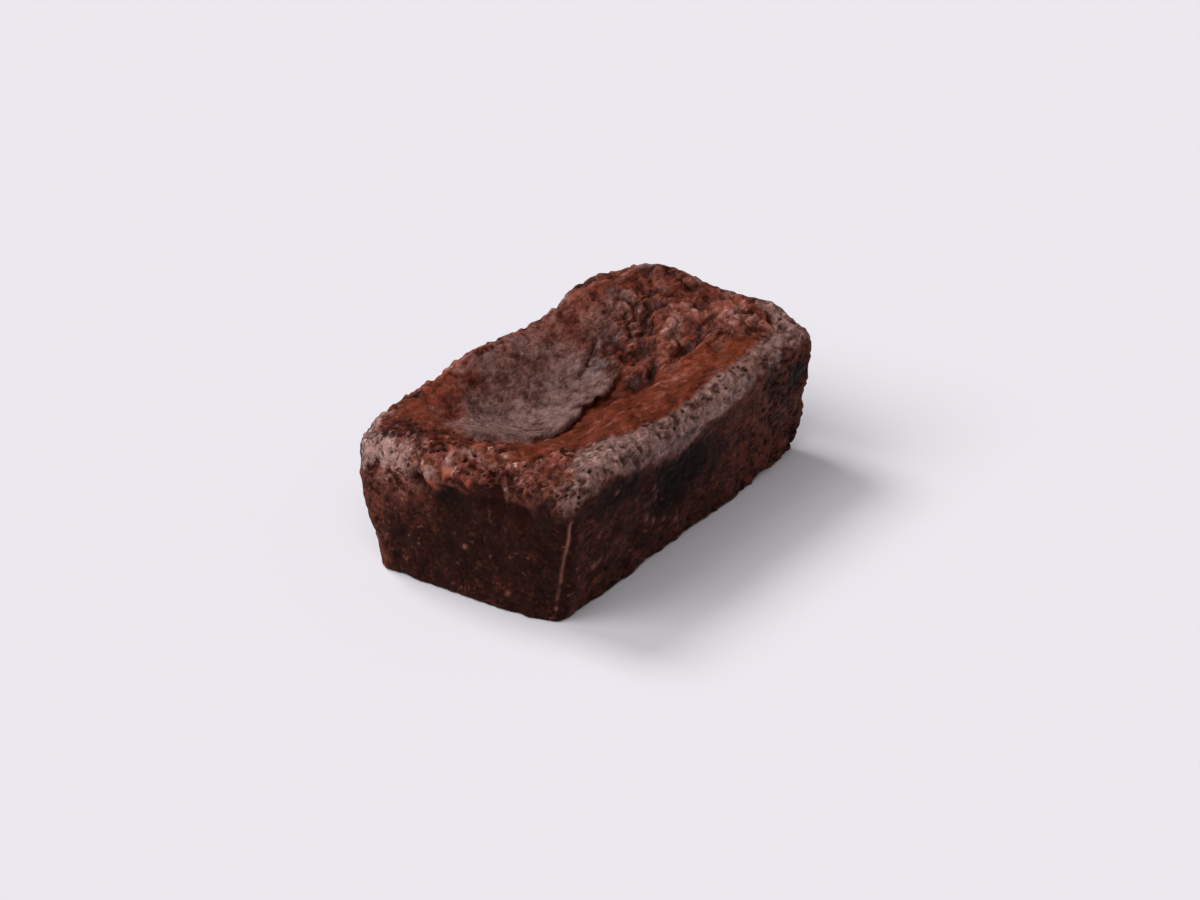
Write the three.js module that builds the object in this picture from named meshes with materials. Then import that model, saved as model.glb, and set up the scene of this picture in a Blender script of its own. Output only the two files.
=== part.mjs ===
// A small chocolate brownie loaf, baked in a tin with sloping sides.
// Its edge stands up all round as a soft crusty rim. The middle has sunk as it cooled, and the thin
// baked skin there has torn along one side and shows the moist crumb.
//
// Millimetres, +Z up. The origin is on the base, under the middle of the widest outline. The long
// sides run along X. The end that faces -X has the burst bubbles.

import * as THREE from 'three';

const { smoothstep, lerp, clamp, degToRad } = THREE.MathUtils;

// Outline
const LENGTH = 90; // widest, at the shoulder
const WIDTH = 50.3;
const BASE_LENGTH = 87;
const BASE_WIDTH = 42.2;
const BASE_SHIFT_X = 0.1; // the sides lean unevenly, so the base is off the middle
const BASE_SHIFT_Y = -1.1;
const BASE_CORNER = 2.5; // corner radii seen from above
const SHOULDER_CORNER = 4;
const CREST_CORNER = 5;

// Height
const SHOULDER = 24; // where the wall turns over into the rim
const CREST = 28.2; // the rim's height along the front long side
const BASE_ROUND = 0.7; // soft bottom edge
const RIM = 4.6; // from the wall in to the rim's crest
const BACK_RISE = 2.2; // how much higher the back long side stands
const END_RISE = 3.2; // how much higher the +X end stands

// The rim rises and falls round the loaf: places, widths and heights of its humps and hollows
const SWELLS = [
  { x: -7, y: 24, rx: 6, ry: 9, rise: 1.3 },
  { x: -24, y: 22, rx: 5, ry: 9, rise: 0.7 },
  { x: 12, y: 24, rx: 8, ry: 9, rise: -2 },
  { x: 27, y: 24, rx: 5, ry: 7, rise: 1 },
  { x: 41, y: 9, rx: 8, ry: 8, rise: 0.9 },
  { x: -43, y: -7, rx: 9, ry: 9, rise: -2.3 },
  { x: 45, y: 25, rx: 12, ry: 10, rise: -1.6 },
  { x: 45, y: -25, rx: 8, ry: 8, rise: -2.6 },
  { x: -45, y: 25, rx: 9, ry: 9, rise: -5.2 },
];

// The sunken middle
const DIP = { x: -7, y: 6, left: 34, right: 46, near: 26.5, far: 16.5, power: 2.7, depth: 8.6 };

// The baked skin in it: an oblong whose front edge is torn, with a lip that stands over a groove
const SKIN = { x: -5, y: 12.6, rx: 29.5, ry: 13.1, turn: 1, power: 2.4, waver: 0.8, lip: 0.9, groove: 0.8 };
const LIP_WIDTH = 3.4;
const GROOVE_WIDTH = 1.5;

// Folds, creases and hollows of the top, long ones turned to the way they run (degrees)
const MARKS = [
  { x: 8, y: -5.5, rx: 8, ry: 2.8, turn: 18, rise: -1 }, // hollow along the torn edge
  { x: -1, y: -13, rx: 14, ry: 2, turn: 15, rise: 0.9 }, // fold where the moist crumb was stretched
  { x: 18, y: -10.4, rx: 8, ry: 2.2, turn: -12, rise: 0.8 },
  { x: 23, y: -1.5, rx: 12, ry: 2.4, turn: 17, rise: 1.5 }, // rough ridge up to the +X end
  { x: 21, y: -7.6, rx: 4.5, ry: 1.9, turn: -10, rise: -1.9 }, // pocket beside it
  { x: -29, y: -8, rx: 6, ry: 1.5, turn: -12, rise: -0.9 }, // crease
  { x: -31, y: -13.6, rx: 4, ry: 1.7, turn: 20, rise: 0.9 }, // swollen streak
  { x: -30, y: -10.8, rx: 5, ry: 1.2, turn: 10, rise: -0.5 },
  { x: 13.5, y: 8.6, rx: 6, ry: 1.3, turn: 20, rise: -0.6 }, // crack in the skin
];

// Lumps and pits of the walls: place, reach and how far they stand out
const SPOTS = [
  { x: -45, y: 4.2, z: 24, reach: 3, rise: 1.1 }, // half burst bubble
  { x: -44.5, y: -1.2, z: 26.6, reach: 1.8, rise: 0.9 },
  { x: -45, y: 8.6, z: 22.4, reach: 2, rise: -1.6 }, // holes round it
  { x: -44.5, y: -8.6, z: 25, reach: 1.9, rise: -1.4 },
  { x: -45, y: -8.4, z: 21.3, reach: 2.2, rise: -1.5 },
  { x: -45, y: -14.4, z: 20.6, reach: 2.4, rise: -1.1 },
  { x: -45, y: 3.4, z: 19, reach: 4, rise: -0.9 },
  { x: 44, y: -22, z: 1, reach: 5, rise: -1.6 }, // crumbled bottom corner and edge
  { x: -45, y: 25, z: 28, reach: 6, rise: -2.2 }, // worn top corner
  { x: 33, y: -21.5, z: 6, reach: 4, rise: -0.9 },
  { x: -25, y: -21.5, z: 6, reach: 4.5, rise: -0.6 },
];

// Roughness of the surface: sizes and heights of its lumps
const CRUST = [{ size: 7, rise: 0.4 }, { size: 3.3, rise: 0.3 }];
const KNOBS = { size: 4.4, rise: 1.1, from: 14, to: 30 };
const WRINKLES = { size: 5, rise: 0.45 };
const STREAKS = { along: 11, across: 2.4, rise: 0.35 };

// Mesh steps
const STEPS_X = 56;
const STEPS_Y = 32;
const WALL_ROWS = 12;
const RIM_ROWS = 6;

// Repeatable value noise: one value from -1 to 1 for each corner of a cubic lattice, blended smoothly
const SEED = 20011;

function cornerValue(i, j, k) {
  let h = Math.imul(i, 374761393) ^ Math.imul(j, 668265263) ^ Math.imul(k, 1274126177) ^ SEED;
  h = Math.imul(h ^ (h >>> 13), 1103515245);
  h = Math.imul(h ^ (h >>> 16), 2146121005);
  return ((h ^ (h >>> 15)) >>> 0) / 2147483648 - 1;
}

function noise(x, y, z) {
  const c = [x, y, z].map(Math.floor);
  const t = [x, y, z].map((value, axis) => smoothstep(value - c[axis], 0, 1));
  let sum = 0;
  for (let n = 0; n < 8; n += 1) {
    const step = [n & 1, (n >> 1) & 1, n >> 2];
    const weight = step.reduce((product, s, axis) => product * (s ? t[axis] : 1 - t[axis]), 1);
    sum += weight * cornerValue(c[0] + step[0], c[1] + step[1], c[2] + step[2]);
  }
  return sum;
}

// The point seen from a mark's middle, along and across the way it runs
function turned(x, y, mark) {
  const angle = degToRad(mark.turn ?? 0);
  const dx = x - mark.x;
  const dy = y - mark.y;
  return [dx * Math.cos(angle) + dy * Math.sin(angle), dy * Math.cos(angle) - dx * Math.sin(angle)];
}

function bell(x, y, mark) {
  const [along, across] = turned(x, y, mark);
  return mark.rise * Math.exp(-((along / mark.rx) ** 2) - (across / mark.ry) ** 2);
}

// Height of the rim's crest, carried on over the whole plan
function crown(x, y) {
  let z = CREST;
  z += BACK_RISE * smoothstep(y, -12, 22);
  z += END_RISE * smoothstep(x, 18, 40) * smoothstep(y, -26, -12) * (1 - smoothstep(y, 8, 24));
  for (const swell of SWELLS) {
    z += bell(x, y, swell);
  }
  return z;
}

// How far the middle has sunk: 0 at the rim and 1 at the bottom
function sink(x, y) {
  const along = Math.abs(x - DIP.x) / (x < DIP.x ? DIP.left : DIP.right);
  const across = Math.abs(y - DIP.y) / (y < DIP.y ? DIP.near : DIP.far);
  const reach = (along ** DIP.power + across ** DIP.power) ** (1 / DIP.power);
  return 1 - smoothstep(reach, 0.12, 1.02);
}

// Rough distance outside the skin's edge, below 0 on the skin
function skinDistance(x, y) {
  const [along, across] = turned(x, y, SKIN);
  const reach = (Math.abs(along / SKIN.rx) ** SKIN.power + Math.abs(across / SKIN.ry) ** SKIN.power)
    ** (1 / SKIN.power);
  return (reach - 1) * SKIN.ry + SKIN.waver * noise(x / 6, y / 6, 3.5);
}

// Folds and lumps of the top inside the rim
function topDetail(x, y) {
  const inner = smoothstep(Math.min(LENGTH / 2 - RIM - Math.abs(x), WIDTH / 2 - RIM - Math.abs(y)), 0, 4);
  const distance = skinDistance(x, y);
  const skin = 1 - smoothstep(distance, -0.7, 0.7);
  const torn = (1 - smoothstep(y, 5, 12)) * (1 - smoothstep(x, 12, 20));
  let z = torn * skin * SKIN.lip * Math.exp(-((distance / LIP_WIDTH) ** 2));
  z -= torn * SKIN.groove * Math.exp(-(((distance - GROOVE_WIDTH) / GROOVE_WIDTH) ** 2));
  z += skin * WRINKLES.rise * noise(x / WRINKLES.size, y / WRINKLES.size, 0.5);
  const knobs = smoothstep(x, KNOBS.from, KNOBS.to) * (1 - 0.7 * skin);
  z += knobs * KNOBS.rise * noise(x / KNOBS.size, y / KNOBS.size, 7.5);
  z += (1 - skin) * (1 - knobs) * STREAKS.rise * noise(x / STREAKS.along, y / STREAKS.across, 1.5);
  for (const mark of MARKS) {
    z += bell(x, y, mark);
  }
  return z * inner;
}

function top(x, y) {
  return crown(x, y) - DIP.depth * sink(x, y) + topDetail(x, y);
}

// How far the crust stands out from the plain form at a point of the wall or rim
function crust(x, y, z) {
  let rise = 0;
  for (const [n, layer] of CRUST.entries()) {
    rise += layer.rise * noise(x / layer.size + 9 * n, y / layer.size, z / layer.size);
  }
  for (const spot of SPOTS) {
    const away = (x - spot.x) ** 2 + (y - spot.y) ** 2 + (z - spot.z) ** 2;
    rise += spot.rise * Math.exp(-away / spot.reach ** 2);
  }
  return rise;
}

// The rounded outline's point that belongs to a point (u, v) on the edge of the square from -1 to 1
function outline(u, v, halfX, halfY, corner) {
  const px = u * halfX;
  const py = v * halfY;
  const cx = clamp(px, corner - halfX, halfX - corner);
  const cy = clamp(py, corner - halfY, halfY - corner);
  const reach = Math.hypot(px - cx, py - cy);
  const out = [(px - cx) / reach, (py - cy) / reach];
  return { x: cx + corner * out[0], y: cy + corner * out[1], out };
}

// Points of the square's edge, once round, counter-clockwise from (-1, -1)
function squareEdge() {
  const alongX = Array.from({ length: STEPS_X }, (_, i) => -1 + (2 * i) / STEPS_X);
  const alongY = Array.from({ length: STEPS_Y }, (_, j) => -1 + (2 * j) / STEPS_Y);
  return [
    ...alongX.map((u) => [u, -1]),
    ...alongY.map((v) => [1, v]),
    ...alongX.map((u) => [-u, 1]),
    ...alongY.map((v) => [-1, -v]),
  ];
}

// Rows of the wall, from the flat base up to the shoulder
function wallPoints(edge) {
  const points = [];
  for (let row = 0; row <= WALL_ROWS; row += 1) {
    const z = row === 0 ? 0 : lerp(BASE_ROUND, SHOULDER, (row - 1) / (WALL_ROWS - 1));
    const t = z / SHOULDER;
    const inset = row === 0 ? BASE_ROUND : 0;
    const halfX = lerp(BASE_LENGTH, LENGTH, t) / 2 - inset;
    const halfY = lerp(BASE_WIDTH, WIDTH, t) / 2 - inset;
    for (const [u, v] of edge) {
      const p = outline(u, v, halfX, halfY, lerp(BASE_CORNER, SHOULDER_CORNER, t));
      const x = p.x + BASE_SHIFT_X * (1 - t);
      const y = p.y + BASE_SHIFT_Y * (1 - t);
      const rise = crust(x, y, z);
      points.push([x + rise * p.out[0], y + rise * p.out[1], z]);
    }
  }
  return points;
}

// Rows that turn over from the shoulder to the crest on a quarter of an ellipse
function rimPoints(edge) {
  const points = [];
  for (let row = 1; row <= RIM_ROWS; row += 1) {
    const angle = ((Math.PI / 2) * row) / RIM_ROWS;
    for (const [u, v] of edge) {
      const shoulder = outline(u, v, LENGTH / 2, WIDTH / 2, SHOULDER_CORNER);
      const crest = outline(u, v, LENGTH / 2 - RIM, WIDTH / 2 - RIM, CREST_CORNER);
      const x = lerp(crest.x, shoulder.x, Math.cos(angle));
      const y = lerp(crest.y, shoulder.y, Math.cos(angle));
      const z = lerp(SHOULDER, top(crest.x, crest.y), Math.sin(angle));
      const rise = crust(x, y, z);
      const [outX, outY] = shoulder.out.map((part) => part * rise * Math.cos(angle));
      points.push([x + outX, y + outY, z + rise * Math.sin(angle)]);
    }
  }
  return points;
}

// Which point of the square's edge a corner of the top's grid is, or -1 inside it
function edgeNumber(i, j) {
  if (j === 0) {
    return i;
  }
  if (i === STEPS_X) {
    return STEPS_X + j;
  }
  if (j === STEPS_Y) {
    return 2 * STEPS_X + STEPS_Y - i;
  }
  return i === 0 ? 2 * (STEPS_X + STEPS_Y) - j : -1;
}

// A point of the top's grid, blended from the four sides of the crest line
function topPoint(i, j, edge) {
  const side = (p, q) => {
    const [u, v] = edge[edgeNumber(p, q) % edge.length];
    return outline(u, v, LENGTH / 2 - RIM, WIDTH / 2 - RIM, CREST_CORNER);
  };
  const u = i / STEPS_X;
  const v = j / STEPS_Y;
  const [x, y] = ['x', 'y'].map((axis) => {
    const sides = lerp(side(i, 0)[axis], side(i, STEPS_Y)[axis], v)
      + lerp(side(0, j)[axis], side(STEPS_X, j)[axis], u);
    const near = lerp(side(0, 0)[axis], side(STEPS_X, 0)[axis], u);
    const far = lerp(side(0, STEPS_Y)[axis], side(STEPS_X, STEPS_Y)[axis], u);
    return sides - lerp(near, far, v);
  });
  const z = top(x, y);
  return [x, y, z + crust(x, y, z)];
}

// The brownie's whole skin: wall, rim, top and flat base
function brownieGeometry() {
  const edge = squareEdge();
  const count = edge.length;
  const points = [...wallPoints(edge), ...rimPoints(edge)];
  const faces = [];

  const rows = WALL_ROWS + RIM_ROWS;
  for (let row = 0; row < rows; row += 1) {
    for (let n = 0; n < count; n += 1) {
      const a = row * count + n;
      const b = row * count + ((n + 1) % count);
      faces.push(a, b, b + count, a, b + count, a + count);
    }
  }

  const at = [];
  for (let i = 0; i <= STEPS_X; i += 1) {
    at.push([]);
    for (let j = 0; j <= STEPS_Y; j += 1) {
      const n = edgeNumber(i, j);
      if (n < 0) {
        points.push(topPoint(i, j, edge));
      }
      at[i].push(n < 0 ? points.length - 1 : rows * count + (n % count));
    }
  }
  for (let i = 0; i < STEPS_X; i += 1) {
    for (let j = 0; j < STEPS_Y; j += 1) {
      faces.push(at[i][j], at[i + 1][j], at[i + 1][j + 1], at[i][j], at[i + 1][j + 1], at[i][j + 1]);
    }
  }

  points.push([BASE_SHIFT_X, BASE_SHIFT_Y, 0]);
  for (let n = 0; n < count; n += 1) {
    faces.push(points.length - 1, (n + 1) % count, n);
  }

  const geometry = new THREE.BufferGeometry();
  geometry.setAttribute('position', new THREE.Float32BufferAttribute(points.flat(), 3));
  geometry.setIndex(faces);
  geometry.computeVertexNormals();
  return geometry;
}

const brownie = new THREE.Mesh(
  brownieGeometry(),
  new THREE.MeshStandardMaterial({ color: 0x3a2019, roughness: 0.7, metalness: 0 }),
);
brownie.name = 'brownie';

const group = new THREE.Group();
group.add(brownie);

export default group;
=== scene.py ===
import bpy
import numpy as np
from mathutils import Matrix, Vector


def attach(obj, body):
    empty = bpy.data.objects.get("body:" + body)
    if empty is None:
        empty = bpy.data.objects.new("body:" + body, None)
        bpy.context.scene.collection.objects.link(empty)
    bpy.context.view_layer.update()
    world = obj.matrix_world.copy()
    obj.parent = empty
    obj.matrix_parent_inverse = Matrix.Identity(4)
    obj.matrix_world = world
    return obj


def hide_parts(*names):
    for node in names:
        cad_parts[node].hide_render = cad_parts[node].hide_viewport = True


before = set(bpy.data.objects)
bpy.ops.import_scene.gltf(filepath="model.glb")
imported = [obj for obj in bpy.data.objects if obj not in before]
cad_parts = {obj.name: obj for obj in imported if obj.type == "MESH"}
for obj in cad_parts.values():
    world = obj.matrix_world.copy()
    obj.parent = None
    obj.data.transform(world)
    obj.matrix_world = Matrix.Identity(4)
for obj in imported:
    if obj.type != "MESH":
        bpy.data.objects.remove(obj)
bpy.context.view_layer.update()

# The loaf's form
# One small loaf of dense chocolate batter, baked in a tin with sloping sides. The edge set first and
# stands as a rim. The middle sank as it cooled, and its thin skin tore along the front.
# Sizes are in millimetres, as measured on the loaf.

MM = 0.001
LENGTH, WIDTH = 90.0, 50.3
BASE_LENGTH, BASE_WIDTH = 87.0, 42.2
BASE_SHIFT = (0.1, -1.1)
BASE_CORNER, SHOULDER_CORNER, CREST_CORNER = 2.5, 4.0, 5.0
SHOULDER, CREST = 24.0, 28.2
BASE_ROUND, RIM = 0.7, 4.6

# How much higher the crest is at the back and at the right-hand end, and the places between which it
# rises along y, along x, and at the end's two sides
BACK_RISE, BACK_SPAN = 2.2, (-12, 22)
END_RISE, END_SPAN, END_NEAR, END_FAR = 3.2, (18, 40), (-26, -12), (8, 24)

# Humps and hollows of the rim: x, y, reach along, reach across, turn in degrees, rise
SWELLS = [
    (-7, 24, 6, 9, 0, 1.3),
    (-24, 22, 5, 9, 0, 0.7),
    (12, 24, 8, 9, 0, -2),
    (27, 24, 5, 7, 0, 1),
    (41, 9, 8, 8, 0, 0.9),
    (-43, -7, 9, 9, 0, -2.3),
    (45, 25, 12, 10, 0, -1.6),
    (45, -25, 8, 8, 0, -2.6),
    (-45, 25, 9, 9, 0, -5.2),
]

# The sunken middle reaches a different distance out to each side. The skin is an oblong that lies in it,
# with a lip and a groove where it tore.
DIP = {"x": -7, "y": 6, "left": 34, "right": 46, "near": 26.5, "far": 16.5, "power": 2.7, "depth": 8.6}
DIP_FLAT, DIP_EDGE, RIM_BLEND = 0.12, 1.02, 4
SKIN = {"x": -5, "y": 12.6, "rx": 29.5, "ry": 13.1, "turn": 1, "power": 2.4}
SKIN_WAVER, WAVER_SIZE, SKIN_BORDER = 0.8, 6, 0.7
LIP, LIP_WIDTH, LIP_FADE_X, LIP_FADE_Y = 0.9, 3.4, (12, 20), (5, 12)
GROOVE, GROOVE_WIDTH = 0.8, 1.5

# Folds, creases and hollows of the top, given like the humps
MARKS = [
    (8, -5.5, 8, 2.8, 18, -1),
    (-1, -13, 14, 2, 15, 0.9),
    (18, -10.4, 8, 2.2, -12, 0.8),
    (23, -1.5, 12, 2.4, 17, 1.5),
    (21, -7.6, 4.5, 1.9, -10, -1.9),
    (-29, -8, 6, 1.5, -12, -0.9),
    (-31, -13.6, 4, 1.7, 20, 0.9),
    (-30, -10.8, 5, 1.2, 10, -0.5),
    (13.5, 8.6, 6, 1.3, 20, -0.6),
]

# Lumps and pits of the walls: x, y, z, reach, rise
SPOTS = [
    (-45, 4.2, 24, 3, 1.1),
    (-44.5, -1.2, 26.6, 1.8, 0.9),
    (-45, 8.6, 22.4, 2, -1.6),
    (-44.5, -8.6, 25, 1.9, -1.4),
    (-45, -8.4, 21.3, 2.2, -1.5),
    (-45, -14.4, 20.6, 2.4, -1.1),
    (-45, 3.4, 19, 4, -0.9),
    (44, -22, 1, 5, -1.6),
    (-45, 25, 28, 6, -2.2),
    (33, -21.5, 6, 4, -0.9),
    (-25, -21.5, 6, 4.5, -0.6),
]

# Noise of the crust as size and rise, and that of the knobs, the wrinkled skin and the streaked crumb
CRUST = [(7, 0.4), (3.3, 0.3)]
KNOB_SIZE, KNOB_RISE, KNOB_SPAN = 4.4, 1.1, (14, 30)
WRINKLE_SIZE, WRINKLE_RISE = 5, 0.45
STREAK_ALONG, STREAK_ACROSS, STREAK_RISE = 11, 2.4, 0.35

# Whole numbers that the noise is mixed from, and how far a grain's centre strays, in grain sizes
SEED = 20011
MIX_X, MIX_Y, MIX_Z = 374761393, 668265263, 1274126177
MIX_FIRST, MIX_LAST = 1103515245, 2146121005
GRAIN_STRAY = 0.45


def smooth(x, low, high):
    """0 below low and 1 above high, with the curve 3t^2 - 2t^3 between them."""
    t = np.clip((x - low) / (high - low), 0, 1)
    return t * t * (3 - 2 * t)


def corner_value(i, j, k):
    """One value from -1 to 1 for a lattice corner, mixed from its three whole numbers and the seed."""
    i, j, k = (np.asarray(a).astype(np.int64).astype(np.uint32) for a in (i, j, k))
    h = i * np.uint32(MIX_X) ^ j * np.uint32(MIX_Y) ^ k * np.uint32(MIX_Z) ^ np.uint32(SEED)
    h = (h ^ (h >> np.uint32(13))) * np.uint32(MIX_FIRST)
    h = (h ^ (h >> np.uint32(16))) * np.uint32(MIX_LAST)
    return (h ^ (h >> np.uint32(15))) / 2**31 - 1


def noise(x, y, z):
    """Smooth noise from -1 to 1: the values of the eight corners round a point, blended smoothly. A flat
    pattern reads one slice of it, at a z of its own."""
    place = np.broadcast_arrays(x, y, z)
    cell = [np.floor(a) for a in place]
    part = [smooth(a - c, 0, 1) for a, c in zip(place, cell)]
    total = 0
    for n in range(8):
        step = (n & 1, n >> 1 & 1, n >> 2)
        weight = 1
        for s, t in zip(step, part):
            weight = weight * (t if s else 1 - t)
        total = total + weight * corner_value(*(c + s for c, s in zip(cell, step)))
    return total


def grains(x, y, z, size):
    """Distances to the nearest and the second grain centre, in grain sizes, and the nearest one's own
    value. Each cube of a lattice holds one centre at a random place. Steps of 7 to 101 lattice cells give
    the three coordinates and the value random numbers of their own."""
    place = np.stack(np.broadcast_arrays(x, y, z)) / size
    cell = np.floor(place)
    first = np.full(cell.shape[1:], np.inf)
    second = np.full(cell.shape[1:], np.inf)
    value = np.zeros(cell.shape[1:])
    for n in range(27):
        corner = cell + np.array([n % 3 - 1, n // 3 % 3 - 1, n // 9 - 1]).reshape(3, *[1] * (cell.ndim - 1))
        away = 0
        for axis in range(3):
            random = corner_value(corner[0] + 101 * axis, corner[1] + 17, corner[2] + 31 * axis)
            away = away + (corner[axis] + 0.5 + GRAIN_STRAY * random - place[axis]) ** 2
        away = np.sqrt(away)
        closer = away < first
        second = np.where(closer, first, np.minimum(second, away))
        first = np.where(closer, away, first)
        value = np.where(closer, corner_value(corner[0] + 7, corner[1] + 53, corner[2] + 11), value)
    return first, second, value


def turned(x, y, middle, turn):
    """The point seen from a middle, along and across a direction turned by that many degrees."""
    c, s = np.cos(np.radians(turn)), np.sin(np.radians(turn))
    dx, dy = x - middle[0], y - middle[1]
    return dx * c + dy * s, dy * c - dx * s


def bells(x, y, marks):
    """Sum of bell curves: rise times e to the minus ((along/reach along)^2 + (across/reach across)^2)."""
    total = 0
    for mark_x, mark_y, reach_x, reach_y, turn, rise in marks:
        along, across = turned(x, y, (mark_x, mark_y), turn)
        total = total + rise * np.exp(-((along / reach_x) ** 2) - (across / reach_y) ** 2)
    return total


def ball(x, y, z, spot, reach):
    """A round bell curve about a spot: e to the minus (distance/reach)^2."""
    away = (x - spot[0]) ** 2 + (y - spot[1]) ** 2 + (z - spot[2]) ** 2
    return np.exp(-away / reach**2)


def crown(x, y):
    """Height of the rim's crest, carried on over the whole plan: its lowest height, plus a rise to the far
    side and a rise to the right-hand end, each a smooth step, plus the swells."""
    z = CREST + BACK_RISE * smooth(y, *BACK_SPAN)
    z = z + END_RISE * smooth(x, *END_SPAN) * smooth(y, *END_NEAR) * (1 - smooth(y, *END_FAR))
    return z + bells(x, y, SWELLS)


def sink(x, y):
    """0 at the rim and 1 at the bottom of the sunken middle: a smooth step over a rounded oblong."""
    along = np.abs(x - DIP["x"]) / np.where(x < DIP["x"], DIP["left"], DIP["right"])
    across = np.abs(y - DIP["y"]) / np.where(y < DIP["y"], DIP["near"], DIP["far"])
    reach = (along ** DIP["power"] + across ** DIP["power"]) ** (1 / DIP["power"])
    return 1 - smooth(reach, DIP_FLAT, DIP_EDGE)


def skin_distance(x, y):
    """Rough distance outside the skin's oblong, below 0 on the skin, made wavy by noise."""
    along, across = turned(x, y, (SKIN["x"], SKIN["y"]), SKIN["turn"])
    power = SKIN["power"]
    reach = (np.abs(along / SKIN["rx"]) ** power + np.abs(across / SKIN["ry"]) ** power) ** (1 / power)
    return (reach - 1) * SKIN["ry"] + SKIN_WAVER * noise(x / WAVER_SIZE, y / WAVER_SIZE, 3.5)


def inside(x, y):
    """0 on the rim's crest and 1 from RIM_BLEND inside it."""
    return smooth(np.minimum(LENGTH / 2 - RIM - np.abs(x), WIDTH / 2 - RIM - np.abs(y)), 0, RIM_BLEND)


def top_detail(x, y):
    """Folds and lumps inside the rim: lip and groove of the skin, its wrinkles, knobs, streaks, marks."""
    distance = skin_distance(x, y)
    skin = 1 - smooth(distance, -SKIN_BORDER, SKIN_BORDER)
    torn = (1 - smooth(y, *LIP_FADE_Y)) * (1 - smooth(x, *LIP_FADE_X))
    z = torn * skin * LIP * np.exp(-((distance / LIP_WIDTH) ** 2))
    z = z - torn * GROOVE * np.exp(-(((distance - GROOVE_WIDTH) / GROOVE_WIDTH) ** 2))
    z = z + skin * WRINKLE_RISE * noise(x / WRINKLE_SIZE, y / WRINKLE_SIZE, 0.5)
    knobs = smooth(x, *KNOB_SPAN) * (1 - 0.7 * skin)
    z = z + knobs * KNOB_RISE * noise(x / KNOB_SIZE, y / KNOB_SIZE, 7.5)
    streaks = noise(x / STREAK_ALONG, y / STREAK_ACROSS, 1.5)
    z = z + (1 - skin) * (1 - knobs) * STREAK_RISE * streaks
    return (z + bells(x, y, MARKS)) * inside(x, y)


def top(x, y):
    """Height of the top: the crown, less the sunken middle, with its folds."""
    return crown(x, y) - DIP["depth"] * sink(x, y) + top_detail(x, y)


def crust(x, y, z):
    """How far the crust stands out: two sizes of noise, plus each round spot's rise times its bell."""
    rise = 0
    for n, (size, height) in enumerate(CRUST):
        rise = rise + height * noise(x / size + 9 * n, y / size, z / size)
    for *spot, reach, height in SPOTS:
        rise = rise + height * ball(x, y, z, spot, reach)
    return rise


def outline(u, v, half_x, half_y, corner):
    """Point of a rectangle with round corners that belongs to a point of the square's edge, and the
    direction out of it: the square's point pushed to the corner's radius from the inner rectangle."""
    px, py = u * half_x, v * half_y
    cx = np.clip(px, corner - half_x, half_x - corner)
    cy = np.clip(py, corner - half_y, half_y - corner)
    reach = np.hypot(px - cx, py - cy)
    out_x, out_y = (px - cx) / reach, (py - cy) / reach
    return cx + corner * out_x, cy + corner * out_y, out_x, out_y


# The loaf's surface
# Its skin is one closed sheet: rows of points climb the wall, turn over the rim and close in a grid
# over the sunken top. Pits, cracks, wrinkles and the curled lip are worked into those points.

# Notches in the torn edge, and fine folds and creases, given like the humps
NOTCHES = [(-1.5, 1.2, 1.8, 1.4, 0, 0.9), (3.4, 0.6, 1.5, 1.1, 0, 0.7), (9, -0.5, 3, 1.8, 10, -0.5)]
FINE_MARKS = [
    (-4, -13.7, 11, 0.8, 15, 0.45),
    (-2, -11.7, 11, 0.9, 15, -0.4),
    (19.5, -10.6, 7, 0.8, -12, 0.5),
    (-9, -9, 9, 0.7, 12, 0.25),
    (2, -4.6, 7, 0.8, 14, 0.25),
    (-24, -5.5, 5, 0.7, -16, 0.3),
    (24.5, -3.2, 8, 1.8, 17, 0.8),
    (31.5, 6.5, 1.1, 3.5, 20, 0.6),
    (14.5, 1.5, 1.1, 3.2, -10, 0.5),
    (10, 8.3, 3, 0.5, 0, -0.45),
    (15.5, 9.6, 4, 0.5, 15, -0.5),
    (12.6, 8.8, 0.5, 1.6, 0, -0.35),
    (21, -8.3, 3.6, 0.9, -12, -0.7),
    (10.5, -3.2, 2.2, 1.3, 65, -0.6),
    (15, -5.2, 3.4, 0.9, 10, -0.6),
    (27, 4.4, 5, 0.9, 20, -0.8),
    (33, 6.2, 0.9, 3.6, 10, -0.6),
    (-29, -9.6, 5, 0.6, -14, -0.5),
    (-25, -12.9, 4, 0.6, -8, -0.4),
    (12.4, 0.4, 2.6, 1.4, 20, 0.55),
    (11.2, 3.4, 3.4, 2.4, 20, -0.4),
    (12.5, -6.2, 4.5, 0.7, 29, -0.7),
    (13.5, -8, 4.5, 1, 29, 0.3),
]

# Painted shade of small caves under the torn edge, given like the humps
SHADED_CAVES = [(-1.6, 1.4, 1.7, 0.8, -20, 1), (3.2, 0.8, 1.3, 0.7, 0, 0.9), (10.6, -2.2, 1.6, 0.8, 60, 0.5)]

# Places where the rim's crust spreads further in, or less far, given like the humps
CREST_SPREADS = [(-28, -17, 7, 5, 0, -5), (40, -20, 6, 5, 0, -2), (-4, -19, 11, 4, 0, 2.6)]

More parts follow.
